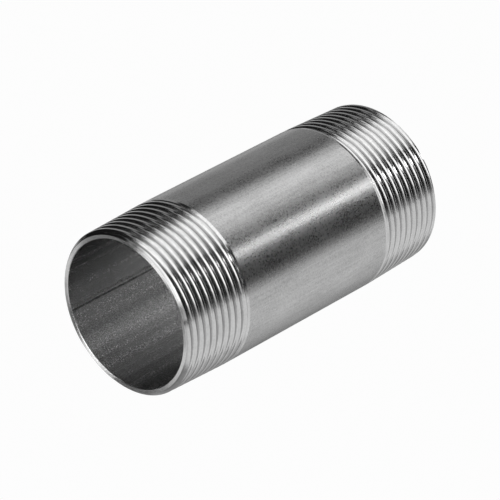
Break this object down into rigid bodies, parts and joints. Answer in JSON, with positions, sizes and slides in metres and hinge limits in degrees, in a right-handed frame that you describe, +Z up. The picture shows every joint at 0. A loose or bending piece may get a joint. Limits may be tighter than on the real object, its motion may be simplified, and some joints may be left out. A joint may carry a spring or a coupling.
{
  "type": "threaded pipe nipple",
  "caption": "Straight stainless steel pipe nipple with an open bore, plain satin barrel and taper male pipe threads on both ends, joining two female threaded fittings.",
  "frame": {"origin": "on the bore axis, halfway between the two end faces", "axes": "+X along the pipe axis from the near end to the far end, +Z up, the pipe rests on its barrel at Z = -24.15 mm"},
  "size_m": [0.1, 0.0483, 0.0482],
  "materials": {
    "satin_steel": "satin, pickled and brushed along the pipe",
    "machined_steel": "bright, freshly turned",
    "weld_metal": "as welded, slightly rippled"
  },
  "bodies": {
    "root": {"barrel": "satin_steel", "thread_near": "machined_steel", "thread_far": "machined_steel", "weld_seam": "weld_metal"}
  },
  "joints": []
}
